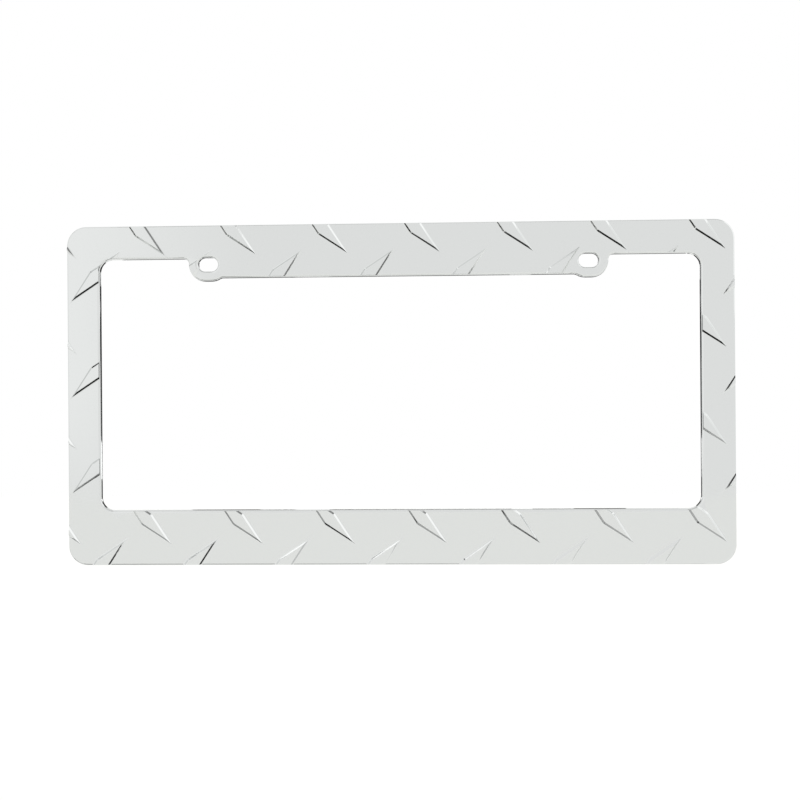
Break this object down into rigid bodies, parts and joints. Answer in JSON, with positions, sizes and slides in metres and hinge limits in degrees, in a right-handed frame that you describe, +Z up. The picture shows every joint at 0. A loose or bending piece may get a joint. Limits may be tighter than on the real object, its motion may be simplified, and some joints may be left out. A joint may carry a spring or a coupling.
{
  "type": "number plate holder",
  "caption": "Chrome-plated cast frame with raised tread lugs, screwed over a number plate through slotted ears at the top of its window.",
  "frame": {"origin": "midway between the two slots, in the plane of the seat that bears on the plate", "axes": "+X across the frame, +Z up, +Y from the front of the frame to the car behind it"},
  "size_m": [0.3118, 0.0054, 0.1596],
  "materials": {
    "chrome_plate": "bright chrome plating over die-cast zinc"
  },
  "bodies": {
    "root": {"plate_frame": "chrome_plate"}
  },
  "joints": []
}
